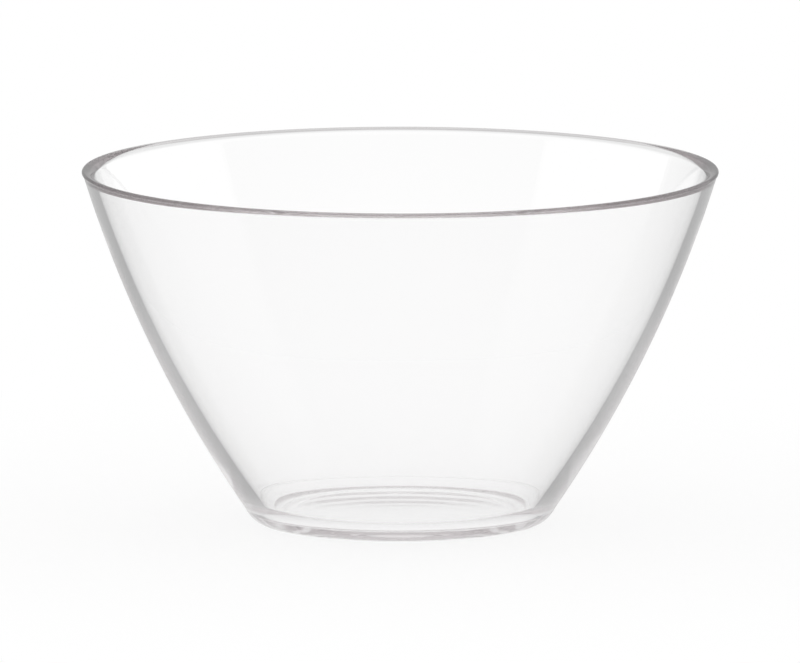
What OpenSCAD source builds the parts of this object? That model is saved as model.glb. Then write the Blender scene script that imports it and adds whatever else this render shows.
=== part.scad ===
// A clear pressed glass bowl, in one piece: a rim that is domed and slopes down inwards, a
// wall that bows outwards and grows thicker towards the foot, a rounded foot with the line
// that the mould leaves, a flat floor inside and a shallow hollow underneath.
// Millimetres, +Z up. The origin is on the table, in the middle of the foot.

/* [Outside] */
// Diameter across the rim
rim_d = 230; // [200:0.5:300]
// Height from the table to the top of the rim
bowl_h = 128.5; // [110:0.5:170]
// Diameter at which the curve of the outer wall, carried on, would meet the table
foot_d = 104.4; // [90:0.2:115]
// How far the outer wall bows out from a straight line
wall_bow = 5.6; // [3:0.1:12]

/* [Rim] */
// Radius of the outer and the inner corner of the rim
rim_round = 0.8; // [0.5:0.1:1]
// How much lower the inner corner lies than the outer one
rim_drop = 1.9; // [1:0.1:2.5]
// Radius of the dome between them
rim_dome = 5; // [3.5:0.1:8]
// How far the outer corner stands out past the wall
rim_proud = 0.3; // [0.1:0.05:0.4]

/* [Glass thickness] */
// Width of the wall, measured level, beside the rim
wall_w = 3.8; // [3.3:0.1:5]
// Width of the wall, measured level, where its curves would meet the table
foot_w = 7.3; // [5:0.1:10]
// How much further the inside of the wall bows out than the outside
inside_bow_extra = 0.8; // [0:0.1:1.5]
// Thickness of the glass from the table to the floor of the bowl
floor_h = 5; // [4:0.1:9]

/* [Rounded corners] */
// Radius that leads the foot round from the mould line into the table
foot_round = 8.5; // [5:0.5:12]
// Radius that leads the inner wall round into the floor
floor_round = 16; // [8:0.5:24]

/* [Mould line] */
// Height of the line that the joint of the mould leaves round the foot
mould_line_h = 4.8; // [3:0.1:6]
// Width of that line
mould_line_w = 0.8; // [0.4:0.1:1.6]
// How far that line stands out
mould_line_proud = 0.15; // [0.05:0.05:0.4]

/* [Underside] */
// Diameter of the shallow hollow under the foot
hollow_d = 76; // [50:1:84]
// Depth of that hollow in the middle
hollow_depth = 0.7; // [0.3:0.1:1.5]

/* [Hidden] */

// How far a cut runs on past the glass
overrun = 1;
// How far a rounding reaches past the faces that it meets, so that they cross cleanly
blend = 0.003;
// Facets of a full circle
fine = 256;

rim_r = rim_d / 2;
foot_r = foot_d / 2;

// In the section below, a point is [distance from the axis, height].
rim_c = [rim_r - rim_round, bowl_h - rim_round];

// Ends of the outer and of the inner curve: level with the centre of the rim's outer corner,
// and carried on to the table
outer_top = [rim_r - rim_proud, rim_c.y];
outer_end = [foot_r, 0];
inner_top = [outer_top.x - wall_w, rim_c.y];
inner_end = [foot_r - foot_w, 0];
inside_bow = wall_bow + inside_bow_extra;

// Radius of an arc, from the two ends of its chord and its rise above the chord
function bow_radius(top, end, rise) =
    let (half = norm(top - end) / 2)
    (half * half + rise * rise) / (2 * rise);

// Centre of that arc: from the middle of the chord, square to it, towards the axis
function bow_centre(top, end, rise) =
    let (along = (top - end) / norm(top - end))
    (top + end) / 2 - [along.y, -along.x] * (bow_radius(top, end, rise) - rise);

// The outer one of the two points at a given height and distance from a centre
function at_height(centre, reach, height) =
    [centre.x + sqrt(reach * reach - (height - centre.y) * (height - centre.y)), height];

// The point of a bow in line with another point and the bow's centre, moved outwards
function out_from(bow_c, bow_r, point, proud = 0) =
    bow_c + (point - bow_c) * (bow_r + proud) / norm(point - bow_c);

outer_bow_r = bow_radius(outer_top, outer_end, wall_bow);
outer_bow_c = bow_centre(outer_top, outer_end, wall_bow);
inner_bow_r = bow_radius(inner_top, inner_end, inside_bow);
inner_bow_c = bow_centre(inner_top, inner_end, inside_bow);

// Centre of the rim's inner corner, where it meets the inner wall, and the centre of the
// dome that touches both corners from above
rim_in_c = at_height(inner_bow_c, inner_bow_r + rim_round - blend, rim_c.y - rim_drop);
rim_in_meet = out_from(inner_bow_c, inner_bow_r, rim_in_c);
rim_apart = norm(rim_c - rim_in_c);
rim_slope = (rim_c - rim_in_c) / rim_apart;
rim_dome_rise = sqrt(pow(rim_dome - rim_round, 2) - rim_apart * rim_apart / 4);
rim_dome_c = (rim_c + rim_in_c) / 2 - [-rim_slope.y, rim_slope.x] * rim_dome_rise;

// The mould line's place on the wall, and its round section, sunk so that only its top
// shows
mould_line = at_height(outer_bow_c, outer_bow_r, mould_line_h);
mould_line_r = (mould_line_w * mould_line_w / 4 + mould_line_proud * mould_line_proud)
    / (2 * mould_line_proud);
mould_line_c = out_from(outer_bow_c, outer_bow_r, mould_line,
    mould_line_proud - mould_line_r);

// Centre of the foot's rounding, which runs from the mould line to the table
foot_rise = foot_round - mould_line_h;
foot_c = [mould_line.x - sqrt(foot_round * foot_round - foot_rise * foot_rise),
    foot_round - blend];

// Centre of the rounding between the inner wall and the floor, and where it meets the wall
floor_c = at_height(inner_bow_c, inner_bow_r - floor_round + blend,
    floor_h + floor_round - blend);
floor_meet = out_from(inner_bow_c, inner_bow_r, floor_c);

// Radius of the ball that hollows the underside
hollow_r = hollow_d / 2;
hollow_ball_r = (hollow_r * hollow_r + hollow_depth * hollow_depth) / (2 * hollow_depth);

module disc(centre, radius) {
    translate(centre)
        circle(r = radius, $fn = fine);
}

// A rectangle from the axis outwards, between two heights
module band(reach, low, high) {
    translate([0, low])
        square([reach, high - low]);
}

// Section of the bowl as if it were solid, up to the rim's outer corner
module outer_section() {
    intersection() {
        disc(outer_bow_c, outer_bow_r);
        band(rim_r, mould_line_h, rim_c.y);
    }
    disc(foot_c, foot_round);
    band(foot_c.x, 0, mould_line_h + overrun);
    disc(mould_line_c, mould_line_r);
}

// Section of the space inside, up to past the wall
module inner_section() {
    intersection() {
        disc(inner_bow_c, inner_bow_r);
        union() {
            disc(floor_c, floor_round);
            band(floor_c.x, floor_h, bowl_h + overrun);
            band(rim_r, floor_meet.y, bowl_h + overrun);
        }
        band(rim_r, floor_h, bowl_h + overrun);
    }
}

// Section of the hollow under the foot
module hollow_section() {
    intersection() {
        disc([0, hollow_depth - hollow_ball_r], hollow_ball_r);
        band(rim_r, -overrun, hollow_depth);
    }
}

// Everything under the line that joins the centres of the rim's corners
module under_rim() {
    polygon([
        [0, -overrun], [rim_r, -overrun], [rim_r, rim_c.y], rim_c,
        rim_in_c, rim_in_meet, [0, rim_in_meet.y]
    ]);
}

// On the line from the dome's centre through a corner's, some way past that corner's centre
function dome_ray(corner, past) =
    corner + (corner - rim_dome_c) / norm(corner - rim_dome_c) * past;

// Section of the rim: its two corners and the dome between them
module rim_section() {
    disc(rim_c, rim_round);
    disc(rim_in_c, rim_round);
    intersection() {
        disc(rim_dome_c, rim_dome - blend);
        polygon([
            dome_ray(rim_c, -rim_round / 2), dome_ray(rim_c, rim_dome),
            dome_ray(rim_in_c, rim_dome), dome_ray(rim_in_c, -rim_round / 2)
        ]);
    }
}

module bowl() {
    color([0.86, 0.90, 0.90, 0.35])
        rotate_extrude($fn = fine) {
            difference() {
                intersection() {
                    outer_section();
                    under_rim();
                }
                inner_section();
                hollow_section();
            }
            rim_section();
        }
}

bowl();
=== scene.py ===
# The clear glass bowl on a white table: its pressed glass, its fine surface, and soft studio light.
import bpy
import numpy as np
from math import atan2, cos, pi, radians, sin
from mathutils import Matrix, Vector


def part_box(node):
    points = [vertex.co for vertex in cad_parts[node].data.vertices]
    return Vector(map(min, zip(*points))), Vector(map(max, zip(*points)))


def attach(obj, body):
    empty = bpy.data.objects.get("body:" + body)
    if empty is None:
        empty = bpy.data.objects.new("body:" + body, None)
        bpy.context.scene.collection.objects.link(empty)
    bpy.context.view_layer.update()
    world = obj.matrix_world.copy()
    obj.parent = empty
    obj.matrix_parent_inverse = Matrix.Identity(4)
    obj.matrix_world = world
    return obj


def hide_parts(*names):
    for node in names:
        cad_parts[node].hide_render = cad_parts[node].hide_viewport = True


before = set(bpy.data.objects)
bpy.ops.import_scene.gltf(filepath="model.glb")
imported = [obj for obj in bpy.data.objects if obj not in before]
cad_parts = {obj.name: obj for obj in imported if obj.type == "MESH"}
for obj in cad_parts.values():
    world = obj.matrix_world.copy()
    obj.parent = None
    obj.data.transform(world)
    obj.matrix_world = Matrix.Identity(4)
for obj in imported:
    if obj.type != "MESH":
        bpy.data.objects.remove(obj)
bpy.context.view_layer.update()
millimetre = 0.001
print("loaded the frame, nodes:", ", ".join(sorted(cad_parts)))

# The view of the photograph: a long lens, slightly above the rim
photoView = {
    "elevation": 8.22,         # degrees above the horizon
    "distance": 10.0,          # metres from the aim point
    "lens": 1245.6,            # millimetres
    "sensorWidth": 36.0,       # millimetres
    "aimHeight": 0.06945,      # metres above the table
    "aimAside": -0.00008,      # metres to the right
}

# Shape of the bowl in millimetres. Height and widest diameter come from the frame.
bowlShape = {
    "rimRound": 0.8,           # radius of both corners of the rim
    "rimDrop": 1.9,            # how much lower the inner corner of the rim lies than the outer one
    "rimDome": 5.0,            # radius of the slope between them
    "rimProud": 0.3,           # how far the outer corner stands out past the wall
    "footDiameter": 104.4,     # where the outer curve, carried on, meets the table
    "wallBow": 5.6,            # how far the outer wall bows out from a straight line
    "insideBowExtra": 0.8,     # how much further the inside bows
    "wallWidth": 3.8,          # wall, measured level, beside the rim
    "footWidth": 7.3,          # wall, measured level, where its curves meet the table
    "floorHeight": 5.0,        # glass under the floor of the bowl
    "footRound": 8.5,          # radius from the mould line round to the table
    "floorRound": 16.0,        # radius from the inner wall round to the floor
    "mouldLineHeight": 4.8,    # the line that the joint of the mould leaves round the foot
    "mouldLineWidth": 0.8,
    "mouldLineProud": 0.15,
    "hollowDiameter": 76.0,    # shallow hollow under the foot
    "hollowDepth": 0.7,
    "wallSteps": 84,           # rings up each face of the wall
    "roundSteps": 24,          # rings round the foot and the floor's corner
    "rimSteps": 14,            # rings over each corner of the rim, and over its slope
    "edgeSteps": 9,            # rings over the mould line and across the bearing face
    "flatSteps": 9,            # rings across each flat face
    "aroundSteps": 320,        # points in each ring
    "joinGap": 0.0001,         # points nearer than this are one
}


# An arc: centre + radius x (cos, sin) of the angle, stepped evenly from start to end; returns points and
# the unit directions away from its centre, turned round where the glass lies outside the arc
def arcRun(centre, radius, start, end, steps, side=1.0):
    angle = np.linspace(start, end, steps)
    away = np.stack([np.cos(angle), np.sin(angle)], 1)
    return np.asarray(centre) + radius * away, side * away


# A straight run: evenly stepped points from start to end, all facing one way
def flatRun(start, end, facing, steps):
    share = np.linspace(0.0, 1.0, steps)[:, None]
    points = np.asarray(start) * (1 - share) + np.asarray(end) * share
    return points, np.repeat([facing], steps, 0).astype(float)


# Radius and centre of the arc through two points with a given rise above their chord:
# radius = (half chord squared + rise squared) / (2 x rise), centre square to the chord's middle
def bowThrough(top, end, rise):
    top, end = np.asarray(top), np.asarray(end)
    half = np.linalg.norm(top - end) / 2
    radius = (half ** 2 + rise ** 2) / (2 * rise)
    along = (top - end) / (2 * half)
    return radius, (top + end) / 2 - np.array([along[1], -along[0]]) * (radius - rise)


# The outer point at a given height and reach from a centre, by Pythagoras
def atHeight(centre, reach, height):
    return np.array([centre[0] + np.sqrt(reach ** 2 - (height - centre[1]) ** 2), height])


# The angle, from straight outwards, at which one point is seen from another: atan2(height, distance)
def angleTo(centre, point):
    return atan2(point[1] - centre[1], point[0] - centre[0])


# Where two circles cross, the crossing nearer to a hint: from the first centre towards the second by
# (r1 squared - r2 squared + d squared) / 2d, then square to that line by Pythagoras
def crossing(centre, radius, otherCentre, otherRadius, hint):
    span = otherCentre - centre
    apart = np.linalg.norm(span)
    along = (radius ** 2 - otherRadius ** 2 + apart ** 2) / (2 * apart)
    aside = np.sqrt(radius ** 2 - along ** 2) * np.array([-span[1], span[0]]) / apart
    middle = centre + span * along / apart
    return min(middle + aside, middle - aside, key=lambda point: np.linalg.norm(point - hint))


# The bowl's section, from the axis underneath, round the foot, up the outside, over the rim and down
# the inside to the axis: joined arcs and level runs, with the way each point faces
def bowlSection(shape, rimRadius, height):
    s = shape
    footRadius = s["footDiameter"] / 2
    cornerR = s["rimRound"]
    cornerC = np.array([rimRadius - cornerR, height - cornerR])
    wallTop = rimRadius - s["rimProud"]
    outerR, outerC = bowThrough([wallTop, cornerC[1]], [footRadius, 0.0], s["wallBow"])
    innerTop = [wallTop - s["wallWidth"], cornerC[1]]
    innerEnd = [footRadius - s["footWidth"], 0.0]
    innerR, innerC = bowThrough(innerTop, innerEnd, s["wallBow"] + s["insideBowExtra"])
    outerMeet = crossing(cornerC, cornerR, outerC, outerR, cornerC + [cornerR, -cornerR])
    innerCornerC = atHeight(innerC, innerR + cornerR, cornerC[1] - s["rimDrop"])
    apart = np.linalg.norm(cornerC - innerCornerC)
    slope = (cornerC - innerCornerC) / apart
    domeR = s["rimDome"]
    domeRise = np.sqrt((domeR - cornerR) ** 2 - apart ** 2 / 4)
    domeC = (cornerC + innerCornerC) / 2 - np.array([-slope[1], slope[0]]) * domeRise
    domeStart, domeEnd = angleTo(domeC, cornerC), angleTo(domeC, innerCornerC)
    joint = atHeight(outerC, outerR, s["mouldLineHeight"])
    footR = s["footRound"]
    rise = s["mouldLineHeight"] - footR
    footC = np.array([joint[0] - np.sqrt(footR ** 2 - rise ** 2), footR])
    floorC = atHeight(innerC, innerR - s["floorRound"], s["floorHeight"] + s["floorRound"])
    hollowR = s["hollowDiameter"] / 2
    ballR = (hollowR ** 2 + s["hollowDepth"] ** 2) / (2 * s["hollowDepth"])
    ballC = [0.0, s["hollowDepth"] - ballR]
    edge = atan2(np.sqrt(ballR ** 2 - hollowR ** 2), hollowR)
    lineR = (s["mouldLineWidth"] ** 2 / 4 + s["mouldLineProud"] ** 2) / (2 * s["mouldLineProud"])
    turn = angleTo(outerC, joint)
    reach = outerR + s["mouldLineProud"] - lineR
    lineC = outerC + reach * np.array([cos(turn), sin(turn)])
    halfLine = np.arcsin(s["mouldLineWidth"] / 2 / lineR)
    sink = s["mouldLineWidth"] / 2
    innerStart, innerStop = angleTo(innerC, innerCornerC), angleTo(innerC, floorC)
    runs = [
        arcRun(ballC, ballR, pi / 2, edge, s["roundSteps"], -1.0),
        flatRun([hollowR, 0.0], [footC[0], 0.0], [0.0, -1.0], s["edgeSteps"]),
        arcRun(footC, footR, -pi / 2, angleTo(footC, joint) - sink / footR, s["roundSteps"]),
        arcRun(lineC, lineR, turn - halfLine, turn + halfLine, s["edgeSteps"]),
        arcRun(outerC, outerR, turn + sink / outerR, angleTo(outerC, outerMeet), s["wallSteps"]),
        arcRun(cornerC, cornerR, angleTo(cornerC, outerMeet), domeStart, s["rimSteps"]),
        arcRun(domeC, domeR, domeStart, domeEnd, s["rimSteps"]),
        arcRun(innerCornerC, cornerR, domeEnd, angleTo(innerCornerC, innerC), s["rimSteps"]),
        arcRun(innerC, innerR, innerStart, innerStop, s["wallSteps"], -1.0),
        arcRun(floorC, s["floorRound"], innerStop, -pi / 2, s["roundSteps"], -1.0),
        flatRun([floorC[0], s["floorHeight"]], [0.0, s["floorHeight"]], [0.0, 1.0], s["flatSteps"]),
    ]
    points = np.concatenate([run[0] for run in runs])
    facing = np.concatenate([run[1] for run in runs])
    gap = np.linalg.norm(np.diff(points, axis=0), axis=1)
    keep = np.concatenate([[True], gap > s["joinGap"]])
    return points[keep], facing[keep]


# Carries a section round the axis: ring by ring, x = distance x sin(turn), y = -distance x cos(turn),
# with one point where the section meets the axis; the way each point faces becomes the mesh's normals
def carriedRound(name, section, facing, around):
    turn = np.linspace(0.0, 2 * pi, around, endpoint=False)
    ring = np.stack([np.sin(turn), -np.cos(turn)], 1)
    body, bodyFacing = section[1:-1], facing[1:-1]
    rings = np.concatenate([body[:, None, :1] * ring[None], np.repeat(body[:, None, 1:], around, 1)], 2)
    level = bodyFacing[:, None, :1] * ring[None]
    turned = np.concatenate([level, np.repeat(bodyFacing[:, None, 1:], around, 1)], 2)
    poles = np.array([[0.0, 0.0, section[0, 1]], [0.0, 0.0, section[-1, 1]]])
    poleFacing = np.array([[0.0, 0.0, -1.0], [0.0, 0.0, 1.0]])
    places = np.concatenate([rings.reshape(-1, 3), poles])
    normals = np.concatenate([turned.reshape(-1, 3), poleFacing])
    count = len(body)
    here = np.arange(around)
    after = (here + 1) % around
    low = (np.arange(count - 1) * around)[:, None]
    quads = np.stack([low + here, low + after, low + around + after, low + around + here], 2).reshape(-1, 4)
    first, last = count * around, count * around + 1
    top = (count - 1) * around
    bottomFan = np.stack([np.full(around, first), after, here], 1)
    topFan = np.stack([np.full(around, last), top + here, top + after], 1)
    faces = quads.tolist() + bottomFan.tolist() + topFan.tolist()
    mesh = bpy.data.meshes.new(name)
    mesh.from_pydata(places.tolist(), [], faces)
    mesh.polygons.foreach_set("use_smooth", np.ones(len(faces), bool))
    mesh.update()
    mesh.normals_split_custom_set_from_vertices(normals.tolist())
    return mesh


# Puts a mesh or a camera into the scene, at the origin and unturned
def placed(name, data):
    piece = bpy.data.objects.new(name, data)
    bpy.context.scene.collection.objects.link(piece)
    return piece


# One socket of a shader tree, on which a sum or a product adds the Math node that works it out
class Wire:
    def __init__(self, shade, socket):
        self.shade, self.socket = shade, socket

    def math(self, operation, *others):
        values = dict(enumerate((self,) + others))
        return self.shade.node("ShaderNodeMath", {"operation": operation}, values)

    def __add__(self, other):
        return self.math("ADD", other)

    def __radd__(self, other):
        return self.math("ADD", other)

    def __sub__(self, other):
        return self.math("SUBTRACT", other)

    def __rsub__(self, other):
        return self.shade.node("ShaderNodeMath", {"operation": "SUBTRACT"}, {0: other, 1: self})

    def __mul__(self, other):
        return self.math("MULTIPLY", other)

    def __rmul__(self, other):
        return self.math("MULTIPLY", other)

    # 0 up to low, 1 from high, and between them share x share x (3 - 2 x share)
    def between(self, low, high):
        settings = {"interpolation_type": "SMOOTHSTEP"}
        return self.shade.node("ShaderNodeMapRange", settings, {0: self, 1: low, 2: high, 3: 0.0, 4: 1.0})

    # Another output of the node that this one comes from
    def other(self, name):
        return Wire(self.shade, self.socket.node.outputs[name])


# The tree of a material or of the world: node() takes a type, its settings, and the values or wires of its
# sockets, and gives back one output
class Shade:
    def __init__(self, tree):
        self.tree = tree
        tree.nodes.clear()

    def node(self, kind, settings=None, inputs=None, output=0):
        made = self.tree.nodes.new(kind)
        for name, value in (settings or {}).items():
            setattr(made, name, value)
        for key, value in (inputs or {}).items():
            if isinstance(value, Wire):
                self.tree.links.new(value.socket, made.inputs[key])
            else:
                made.inputs[key].default_value = value
        return Wire(self, made.outputs[output])

    # Smooth noise between 0 and 1
    def noise(self, place, scale, detail):
        values = {"Vector": place, "Scale": scale, "Detail": detail}
        return self.node("ShaderNodeTexNoise", {}, values, "Fac")

    # Leads the surface, and what fills it, to the tree's output
    def finish(self, surface, volume=None):
        ofWorld = isinstance(self.tree.id_data, bpy.types.World)
        end = self.tree.nodes.new("ShaderNodeOutputWorld" if ofWorld else "ShaderNodeOutputMaterial")
        self.tree.links.new(surface.socket, end.inputs["Surface"])
        if volume:
            self.tree.links.new(volume.socket, end.inputs["Volume"])


# The clear glass, the marks of making and of use on it, and a painted grey shade on the top of its rim
bowlGlass = {
    "ior": 1.5,
    "tint": (1.0, 1.0, 1.0, 1.0),
    # Painted shade that greys the top of the rim, and the metres below the top over which it ends
    "rimPaintedShade": (0.52, 0.5, 0.505, 1.0),
    "rimShadeDepth": (0.00065, 0.0009),
    # How strongly a metre of the glass takes light, and the colour that it takes least
    "dimming": 8.0,
    "dimmingColour": (0.845, 0.825, 0.83, 1.0),
    # The slow waves that cooling leaves, and the fine level rings of the mould: depth in metres, number in
    # a metre, and the noise's levels of detail
    "waveDepth": 0.00003,
    "waveScale": 24.0,
    "waveDetail": 1.0,
    "ringDepth": 0.000002,
    "ringScale": 160.0,
    "ringDetail": 2.0,
    # Wiping marks, and the part of the noise's range over which they set in
    "smearRoughness": 0.012,
    "smearScale": 16.0,
    "smearDetail": 4.0,
    "smearShare": (0.45, 0.75),
    # Rings and marks are stretched level by one over this
    "levelStretch": 0.12,
    # Wear where the foot touches the table: metres from the axis, the metres over which it fades at either
    # side, and those above the table
    "scuffRoughness": 0.12,
    "scuffScale": 900.0,
    "scuffDetail": 5.0,
    "scuffShare": (0.42, 0.66),
    "scuffRing": (0.0375, 0.0490),
    "scuffSoftness": 0.001,
    "scuffHeight": (0.0001, 0.0005),
}


# Bump height = wave x waveDepth + ring x ringDepth; roughness = smear x smearRoughness, plus scuff x
# scuffRoughness where the foot's ring touches the table; tint = a painted grey shade near the top of the rim
def clearGlass(look, top):
    material = bpy.data.materials.new("clear_glass")
    material.use_nodes = True
    shade = Shade(material.node_tree)
    place = shade.node("ShaderNodeTexCoord", output="Object")
    stretch = (look["levelStretch"], look["levelStretch"], 1.0)
    upright = shade.node("ShaderNodeVectorMath", {"operation": "MULTIPLY"}, {0: place, 1: stretch})
    wave = shade.noise(place, look["waveScale"], look["waveDetail"])
    ring = shade.noise(upright, look["ringScale"], look["ringDetail"])
    relief = wave * (look["waveDepth"] / look["ringDepth"]) + ring
    bump = shade.node("ShaderNodeBump", {}, {
        "Strength": 1.0, "Distance": look["ringDepth"], "Height": relief,
    })
    smear = shade.noise(upright, look["smearScale"], look["smearDetail"]).between(*look["smearShare"])
    level = shade.node("ShaderNodeVectorMath", {"operation": "MULTIPLY"}, {0: place, 1: (1.0, 1.0, 0.0)})
    away = shade.node("ShaderNodeVectorMath", {"operation": "LENGTH"}, {0: level}, "Value")
    up = shade.node("ShaderNodeSeparateXYZ", {}, {0: place}, "Z")
    inner, outer = look["scuffRing"]
    soft = look["scuffSoftness"]
    touching = (1.0 - up.between(*look["scuffHeight"])) * away.between(inner, inner + soft)
    touching = touching * (1.0 - away.between(outer - soft, outer))
    scuff = shade.noise(place, look["scuffScale"], look["scuffDetail"]).between(*look["scuffShare"])
    roughness = smear * look["smearRoughness"] + scuff * touching * look["scuffRoughness"]
    # Painted shade: the top of the rim is greyed by mixing in a darker tint over its last millimetre
    rimShadeShare = 1.0 - (top - up).between(*look["rimShadeDepth"])
    tint = shade.node("ShaderNodeMix", {"data_type": "RGBA"}, {
        0: rimShadeShare, 6: look["tint"], 7: look["rimPaintedShade"],
    }, 2)
    glass = shade.node("ShaderNodeBsdfPrincipled", {}, {
        "Base Color": tint, "IOR": look["ior"], "Transmission Weight": 1.0, "Roughness": roughness,
        "Normal": bump,
    })
    body = shade.node("ShaderNodeVolumeAbsorption", {}, {
        "Color": look["dimmingColour"], "Density": look["dimming"],
    })
    shade.finish(glass, body)
    return material


low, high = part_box("bowl")
rimRadius = (high.x - low.x) / 2 / millimetre
height = (high.z - low.z) / millimetre
section, facing = bowlSection(bowlShape, rimRadius, height)
mesh = carriedRound("pressed_bowl", section * millimetre, facing, bowlShape["aroundSteps"])
bowl = placed("pressed_bowl", mesh)
mesh.materials.append(clearGlass(bowlGlass, height * millimetre))
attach(bowl, "root")
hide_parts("bowl")
print("bowl:", len(mesh.vertices), "points,", len(mesh.polygons), "faces")

# The studio. The camera sees white all round, and nearly so through the glass. What the outside of the
# glass mirrors, or one wall turns round within itself, is dimmer: this keeps the edges of the glass grey
# from every side. All levels are shares of white.
studio = {
    "wallOutside": 0.62,       # the room beside the table, as mirrored by the outside of the glass
    "wallThrough": 0.92,       # and as seen through the glass
    "wallWithin": 0.78,        # and as turned round within one wall
    "wallTop": 0.35,           # sine of the rise above the horizon at which the wall starts to brighten
    "ceilingStart": 0.75,      # and from which the ceiling is white
    "tableOutside": 0.7,       # the table as mirrored by the outside of the glass
    "tableWithin": 0.35,       # and within one wall
    "tableBehind": 0.8,        # painted shade: the table's middle distance, seen through one wall alone, is dimmed to grey the rim's far edge
    "middleDistance": (0.20, 0.27, 0.30, 0.42),    # metres from the middle, where that sets in and ends
    "underFoot": (0.046, 0.064),    # metres from the middle over which tableOutside and tableWithin set in
    "tableGlow": 0.85,         # share of the table's brightness that no shadow dims, beside the bowl,
    "shadowEnd": (0.175, 0.35),    # and metres from the middle over which that share rises to 1
    "tableSide": 4.0,          # metres from the middle to an edge
    "airUnderFoot": 0.00005,   # metres, so that foot and table don't share a plane
    "softboxStrength": 1.1,
    "softboxDistance": 2.0,    # metres
    "softboxes": {             # degrees from the front towards the right, and above the horizon
        "right_softbox": (76.0, 150.0, 4.0, 47.0),
        "left_softbox": (-127.0, -61.0, 8.0, 47.0),
    },
}

# Faces of the glass that light crosses on its way through one wall
facesOfWall = 2


# 1 for light that has passed through no more than the two faces of one wall, otherwise 0
def oneWallShare(path):
    return path.other("Transmission Depth").math("LESS_THAN", facesOfWall + 0.5)


# Brightness of the world = wall + (1 - wall) x ceiling, where the wall is wallOutside, wallThrough or
# wallWithin by the light's way through the glass; the camera gets white
def studioWorld(look):
    world = bpy.data.worlds.new("studio")
    world.use_nodes = True
    shade = Shade(world.node_tree)
    direction = shade.node("ShaderNodeTexCoord", output="Generated")
    upward = shade.node("ShaderNodeSeparateXYZ", {}, {0: direction}, "Z")
    ceiling = upward.between(look["wallTop"], look["ceilingStart"])
    path = shade.node("ShaderNodeLightPath", output="Is Camera Ray")
    through = path.other("Transmission Depth").math("MINIMUM", 1.0)
    turned = path.other("Glossy Depth").math("MINIMUM", 1.0) * oneWallShare(path)
    wall = through * (look["wallThrough"] - look["wallOutside"]) + look["wallOutside"]
    wall = wall - through * turned * (look["wallThrough"] - look["wallWithin"])
    room = ceiling * (1.0 - wall) + wall
    shade.finish(shade.node("ShaderNodeBackground", {}, {
        "Color": path.math("MAXIMUM", room), "Strength": 1.0,
    }))
    return world


# A matt white table. The share tableGlow, which rises to 1 over shadowEnd, has the given level, and the
# rest takes the bowl's shadow. Level = 1, painted darker for light that one wall has turned or let through.
def whiteTable(look):
    material = bpy.data.materials.new("white_table")
    material.use_nodes = True
    shade = Shade(material.node_tree)
    path = shade.node("ShaderNodeLightPath", output="Is Camera Ray")
    seen = path.math("MAXIMUM", path.other("Is Glossy Ray"))
    seen = seen.math("MAXIMUM", path.other("Is Transmission Ray"))
    place = shade.node("ShaderNodeTexCoord", output="Object")
    away = shade.node("ShaderNodeVectorMath", {"operation": "LENGTH"}, {0: place}, "Value")
    within = path.other("Transmission Depth").math("MINIMUM", 1.0)
    # Painted shade: the table is darker where the glass mirrors it or turns it round within one wall
    paintedDim = within * (look["tableOutside"] - look["tableWithin"]) + (1.0 - look["tableOutside"])
    turned = path.other("Glossy Depth").math("MINIMUM", 1.0)
    nearStart, nearEnd, farStart, farEnd = look["middleDistance"]
    behind = away.between(nearStart, nearEnd) - away.between(farStart, farEnd)
    # Painted shade: a dimmer ring of the table, seen only through one wall and not turned within it
    paintedRing = (1.0 - turned) * within * behind * (1.0 - look["tableBehind"])
    level = 1.0 - oneWallShare(path) * (turned * away.between(*look["underFoot"]) * paintedDim + paintedRing)
    share = away.between(*look["shadowEnd"]) * (1.0 - look["tableGlow"]) + look["tableGlow"]
    matt = shade.node("ShaderNodeBsdfDiffuse", {}, {"Color": (1.0, 1.0, 1.0, 1.0)})
    glow = shade.node("ShaderNodeEmission", {}, {"Color": level, "Strength": 1.0})
    both = shade.node("ShaderNodeMixShader", {}, {0: seen * share, 1: matt, 2: glow})
    shade.finish(both)
    return material


# A glowing four-cornered card, its corners at the given turns and heights on a ball about the bowl
def softbox(name, corners, look):
    left, right, bottom, top = (radians(angle) for angle in corners)
    reach = look["softboxDistance"]
    places = [(reach * sin(turn) * cos(rise), -reach * cos(turn) * cos(rise), reach * sin(rise))
              for turn, rise in ((left, bottom), (right, bottom), (right, top), (left, top))]
    card = bpy.data.meshes.new(name)
    card.from_pydata(places, [], [(0, 1, 2, 3)])
    material = bpy.data.materials.new(name)
    material.use_nodes = True
    shade = Shade(material.node_tree)
    shade.finish(shade.node("ShaderNodeEmission", {}, {
        "Color": (1.0, 1.0, 1.0, 1.0), "Strength": look["softboxStrength"],
    }))
    card.materials.append(material)
    box = placed(name, card)
    box.visible_camera = False


bpy.context.scene.world = studioWorld(studio)
side = studio["tableSide"]
under = -studio["airUnderFoot"]
table = bpy.data.meshes.new("table_top")
corners = [(-side, -side, under), (side, -side, under), (side, side, under), (-side, side, under)]
table.from_pydata(corners, [], [(0, 1, 2, 3)])
table.materials.append(whiteTable(studio))
placed("table_top", table)
for name, corners in studio["softboxes"].items():
    softbox(name, corners, studio)
print("studio: white table, room, ceiling and", len(studio["softboxes"]), "softboxes")

eye = bpy.data.cameras.new("photo_view")
eye.lens = photoView["lens"]
eye.sensor_width = photoView["sensorWidth"]
camera = placed("photo_view", eye)
lift = radians(photoView["elevation"])
back = Vector((0.0, -cos(lift), sin(lift)))
aim = Vector((photoView["aimAside"], 0.0, photoView["aimHeight"]))
camera.location = aim + back * photoView["distance"]
camera.rotation_mode = "QUATERNION"
camera.rotation_quaternion = (-back).to_track_quat("-Z", "Y")
bpy.context.scene.camera = camera
bpy.context.scene.view_settings.view_transform = "Standard"
print("camera:", photoView["distance"], "metres away,", photoView["elevation"], "degrees up")

# Light that the wall and the floor turn round again and again goes black with fewer bounces than this
glassBounces = 160
cycles = bpy.context.scene.cycles
cycles.max_bounces = cycles.glossy_bounces = cycles.transmission_bounces = glassBounces
